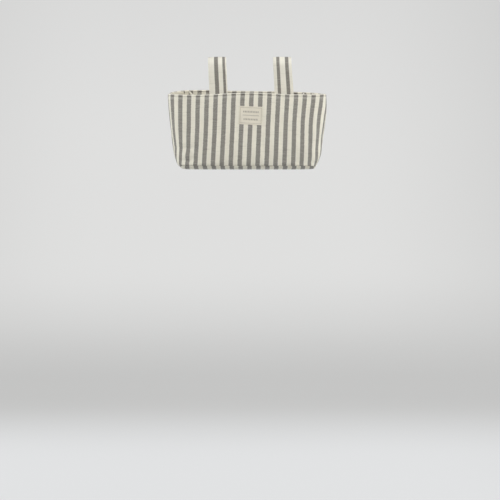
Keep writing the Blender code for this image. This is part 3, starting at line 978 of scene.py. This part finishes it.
def makeLabel():
    b, a = np.meshgrid(np.linspace(-1, 1, 49), np.linspace(-1, 1, 61), indexing="ij")
    inX, inZ = (1 - np.abs(a)) * label["wide"] / 2, (1 - np.abs(b)) * label["high"] / 2
    fromEdge = np.minimum(inX, inZ)
    borderX, borderZ = label["border"]
    lift = label["lift"] * np.sqrt(1 - (1 - np.minimum(1, fromEdge / label["lift"])) ** 2)
    upright = np.where(inZ > borderZ - 0.0005, np.abs(inX - borderX), 1)
    level = np.where(inX > borderX - 0.0005, np.abs(inZ - borderZ), 1)
    lift -= 0.0008 * np.exp(-(np.minimum(upright, level) / 0.0008) ** 2)
    lift += 0.00030 * rough(a * 4.5, b * 3.5, 2.0) * np.minimum(1, fromEdge / 0.003)
    lift += 0.00018 * rough(a * 16, b * 13, 6.0) * np.minimum(1, fromEdge / 0.002)
    wobble = 0.00025 * rough(a * 7, b * 6, 9.0)
    points = labelPoints(a + wobble / 0.028, b + wobble / 0.022, lift + 0.0001)[0]
    marks = np.stack([a * label["wide"] / 2, b * label["high"] / 2], axis=-1)
    piece = newPiece("label", clothGrid(points, marks), labelCloth(), ["label"])
    thicken(piece, label["thick"])


def labelCloth():
    # close unbleached cotton with a faint printed trim: two rows of small blocks and a thin rule
    material = wovenMaterial("label cotton", srgb(223, 216, 200), srgb(232, 226, 212), thread=0.00042)
    tree = material.node_tree
    calc = mathOn(tree)
    ground = tree.nodes["Principled BSDF"].inputs["Base Color"]
    u, v = clothPlace(tree)

    def rule(middle, high, halfWide):
        return calc("MULTIPLY", near(tree, v, middle, high / 2 - 0.0002, high / 2 + 0.0002),
                    calc("LESS_THAN", calc("ABSOLUTE", u), halfWide))

    def blocks(middle, high, halfWide, pitch=0.0039, fill=0.64):
        within = calc("MODULO", calc("ADD", u, pitch * 50), pitch)
        block = near(tree, within, pitch / 2, fill * pitch / 2 - 0.0002, fill * pitch / 2 + 0.0002)
        return calc("MULTIPLY", rule(middle, high, halfWide), block)

    trim = calc("MAXIMUM", blocks(0.0090, 0.0042, 0.0195), blocks(-0.0096, 0.0044, 0.01755))
    trim = calc("MAXIMUM", trim, rule(0.0004, 0.0012, 0.0200))
    # the sunk line of its border stitching holds a little shade
    offX = calc("SUBTRACT", calc("ABSOLUTE", u), label["wide"] / 2 - label["border"][0])
    offZ = calc("SUBTRACT", calc("ABSOLUTE", v), label["high"] / 2 - label["border"][1])
    sunk = near(tree, calc("MAXIMUM", offX, offZ), 0.0, 0.0004, 0.0010, 0.45)
    worn = calc("MULTIPLY", trim, ramp(tree, clothNoise(tree, u, v, 900, 900), 0.25, 0.75, 0.6, 0.95))
    shaded = blend(tree, sunk, ground.links[0].from_socket, srgb(176, 168, 152))
    tree.links.new(blend(tree, worn, shaded, srgb(150, 142, 130)), ground)
    return material


makeLabel()
print("label made")


# Sewing: the rims, the label and the straps have their own thread, one small bead to a stitch

seam = {"pitch": 0.0033, "long": 0.0024, "wide": 0.00042}
labelSeam = {"pitch": 0.0024, "long": 0.0017}
labelThread = speckled("label thread", srgb(178, 170, 150), srgb(206, 199, 180), 1500, 0.0001, 0.7)


def sew(bm, places, outwards, pitch=seam["pitch"], long=seam["long"]):
    # a row of beads along these places, added to the sewing
    run = lengthAlong(places)
    count = max(1, int(run[-1] / pitch))
    row = bmesh.new()
    for k in range(count):
        at = (k + 0.5) * run[-1] / count
        spot, ahead, behind, out = [
            Vector([np.interp(v, run, values[:, i]) for i in range(3)])
            for v, values in ((at, places), (at + 0.0006, places), (at - 0.0006, places), (at, outwards))]
        along = (ahead - behind).normalized()
        across = out.cross(along).normalized()
        up = along.cross(across)
        along = (along + across * 0.08 * noise.noise(spot * 900)).normalized()
        across = up.cross(along)
        half = seam["wide"] / 2
        turn = Matrix((across * half, up * half, along * long / 2)).transposed().to_4x4()
        turn.translation = spot
        bmesh.ops.create_uvsphere(row, u_segments=6, v_segments=5, radius=1, matrix=turn)
    bmesh.ops.recalc_face_normals(row, faces=row.faces)
    rowMesh = meshOf("row", row)
    bm.from_mesh(rowMesh)
    bpy.data.meshes.remove(rowMesh)


def rimSewing():
    bm = bmesh.new()
    share = np.linspace(-0.985, 0.985, 700)
    for side in (front, back):
        z = rimOf(side, share) - wall["stitch"]
        for inset, facingOut in ((0.00034, 1), (wall["thick"] - 0.00034, -1)):
            places, outwards = wallPoints(side, share, z, inset)
            sew(bm, places, outwards * facingOut)
    newPiece("rimStitches", bm, sewingThread)


def strapSewing(name):
    # two long rows, a crossed box that holds the inner end to the wall, and rows across the outer end
    bm = bmesh.new()
    length, w = strapFrames[name][0][-1], strap["half"] - strap["stitch"]
    low, high, end = 0.004, 0.024, length - 0.004
    rows = [((-w, low), (-w, end)), ((w, low), (w, end)), ((-w, low), (w, low)), ((-w, high), (w, high)),
            ((-w, low), (w, high)), ((w, low), (-w, high)), ((-w, end), (w, end)),
            ((-w, length - 0.054), (w, length - 0.054))]
    for (w0, at0), (w1, at1) in rows:
        for sign in (1, -1):
            places, out = strapPoints(name, np.linspace(w0, w1, 240), np.linspace(at0, at1, 240),
                                      sign * (strap["thick"] / 2 - 0.00030))
            sew(bm, places, out * sign)
    newPiece("stitches" + name.capitalize(), bm, sewingThread)


def labelSewing():
    bm = bmesh.new()
    a = 1 - 2 * label["border"][0] / label["wide"]
    b = 1 - 2 * label["border"][1] / label["high"]
    corners = [(-a, -b), (a, -b), (a, b), (-a, b), (-a, -b)]
    for (a0, b0), (a1, b1) in zip(corners, corners[1:]):
        places, out = labelPoints(np.linspace(a0, a1, 60), np.linspace(b0, b1, 60),
                                  label["lift"] - 0.00022)
        sew(bm, places, out, **labelSeam)
    newPiece("labelStitches", bm, labelThread)


rimSewing()
labelSewing()
for name in strapSides:
    strapSewing(name)
print("sewing made")


# Camera, at the photograph's place, and a pale studio

camera = {"place": (0.003, -4.455, -0.202), "lens": 128.9, "sensor": 36}
studio = {"floor": -0.725, "tone": srgb(226, 227, 227), "wall": 3.2, "bend": 1.6, "high": 6.0,
          "wide": 24.0, "ahead": 9.0}
# the tones the camera sees on the paper; the darker ones are painted shade
backdrop = {"upper": srgb(228, 228, 227), "band": srgb(197, 197, 196), "floor": srgb(226, 227, 228),
            "haze": srgb(205, 205, 205), "edge": srgb(198, 198, 197), "far": srgb(221, 221, 221),
            "sky": srgb(214, 214, 214)}


def makeCamera():
    data = bpy.data.cameras.new("camera")
    data.lens, data.sensor_width = camera["lens"], camera["sensor"]
    data.clip_end = 100
    rig = addObject("camera", data)
    rig.location = camera["place"]
    rig.rotation_euler = (math.pi / 2, 0, 0)
    bpy.context.scene.camera = rig


def makeLamp(name, place, aim, size, watts, colour):
    data = bpy.data.lights.new(name, "AREA")
    data.shape, data.size, data.size_y = "RECTANGLE", size[0], size[1]
    data.energy, data.color = watts, colour
    lamp = addObject(name, data)
    lamp.location = place
    lamp.rotation_euler = (Vector(aim) - Vector(place)).to_track_quat("-Z", "Y").to_euler()


def makeSweep():
    # a floor that bends up into a backdrop
    bm = bmesh.new()
    bmesh.ops.create_grid(bm, x_segments=2, y_segments=60, size=0.5)
    straight, bend = studio["wall"] - studio["bend"], studio["bend"] * math.pi / 2
    total = studio["ahead"] + straight + bend + studio["high"]
    for vert in bm.verts:
        at = (vert.co.y + 0.5) * total - studio["ahead"]
        past = at - straight
        if past <= 0:
            y, z = at, 0
        elif past < bend:
            turn = past / studio["bend"]
            y, z = straight + studio["bend"] * math.sin(turn), studio["bend"] * (1 - math.cos(turn))
        else:
            y, z = studio["wall"], studio["bend"] + past - bend
        vert.co = (vert.co.x * studio["wide"], y, z + studio["floor"])
    sweep = addObject("sweep", meshOf("sweep", bm))
    sweep.data.shade_smooth()
    sweep.data.materials.append(sweepPaint())


def sweepPaint():
    # matt paper: lit as it is, with its tone partly set for the camera, and clear from behind; that tone
    # carries painted shade, darker on the floor behind the bag, towards the sides and higher up
    material, tree, paper = newMaterial("sweep paper", 1.0, 0.0)
    calc = mathOn(tree)
    paper.inputs["Base Color"].default_value = studio["tone"]
    place = tree.nodes.new("ShaderNodeTexCoord")
    split = tree.nodes.new("ShaderNodeSeparateXYZ")
    tree.links.new(place.outputs["Object"], split.inputs[0])
    x, y, z = split.outputs
    grain = tree.nodes.new("ShaderNodeTexNoise")
    grain.inputs["Scale"].default_value = 1.3
    tree.links.new(place.outputs["Object"], grain.inputs["Vector"])
    depth = calc("ADD", y, z)
    aside = calc("ABSOLUTE", calc("ADD", x, 0.12))
    far = calc("SQRT", calc("ADD", calc("MULTIPLY", x, x), calc("MULTIPLY", y, y)))
    tone = backdrop["floor"]
    for share, colour in ((ramp(tree, depth, -0.7, 1.1), backdrop["band"]),
                          (ramp(tree, depth, 1.3, 2.5), backdrop["upper"]),
                          (ramp(tree, z, 0.2, 1.2, 0.0, 0.3), backdrop["haze"]),
                          (ramp(tree, aside, 0.45, 1.9, 0.0, 0.75), backdrop["edge"]),
                          (calc("MULTIPLY", grain.outputs["Fac"], 0.05), backdrop["haze"]),
                          (ramp(tree, far, 3.6, 8.0), backdrop["far"])):
        tone = blend(tree, share, tone, colour)
    glow = tree.nodes.new("ShaderNodeEmission")
    tree.links.new(tone, glow.inputs["Color"])
    rays = tree.nodes.new("ShaderNodeLightPath")
    shown = tree.nodes.new("ShaderNodeMixShader")
    tree.links.new(calc("MULTIPLY", rays.outputs["Is Camera Ray"], 0.92), shown.inputs[0])
    tree.links.new(paper.outputs[0], shown.inputs[1])
    tree.links.new(glow.outputs[0], shown.inputs[2])
    behind = tree.nodes.new("ShaderNodeNewGeometry")
    clear = tree.nodes.new("ShaderNodeBsdfTransparent")
    final = tree.nodes.new("ShaderNodeMixShader")
    tree.links.new(behind.outputs["Backfacing"], final.inputs[0])
    tree.links.new(shown.outputs[0], final.inputs[1])
    tree.links.new(clear.outputs[0], final.inputs[2])
    tree.links.new(final.outputs[0], tree.nodes["Material Output"].inputs["Surface"])
    return material


def makeWorld():
    world = bpy.data.worlds.new("studio")
    bpy.context.scene.world = world
    world.use_nodes = True
    nodes, links = world.node_tree.nodes, world.node_tree.links
    lit = nodes["Background"]
    lit.inputs["Color"].default_value = (0.97, 0.98, 1.0, 1)
    lit.inputs["Strength"].default_value = 0.22
    seen = nodes.new("ShaderNodeBackground")
    seen.inputs["Color"].default_value = backdrop["sky"]
    rays = nodes.new("ShaderNodeLightPath")
    mix = nodes.new("ShaderNodeMixShader")
    links.new(rays.outputs["Is Camera Ray"], mix.inputs[0])
    links.new(lit.outputs[0], mix.inputs[1])
    links.new(seen.outputs[0], mix.inputs[2])
    links.new(mix.outputs[0], nodes["World Output"].inputs["Surface"])


makeCamera()
makeSweep()
makeWorld()
makeLamp("key", (0.30, -1.15, 1.30), (0, 0, 0.12), (1.0, 1.0), 11.5, (1.0, 0.97, 0.935))
makeLamp("right", (1.75, -0.62, 0.55), (0, 0, 0.1), (1.2, 1.2), 22, (0.95, 0.98, 1.0))
makeLamp("left", (-1.75, -0.62, 0.55), (0, 0, 0.1), (1.2, 1.2), 23, (0.95, 0.98, 1.0))
makeLamp("rear", (0.3, 2.0, 1.0), (0, 0, 0.12), (1.4, 1.2), 17, (1, 1, 1))
bpy.context.scene.view_settings.view_transform = "Standard"
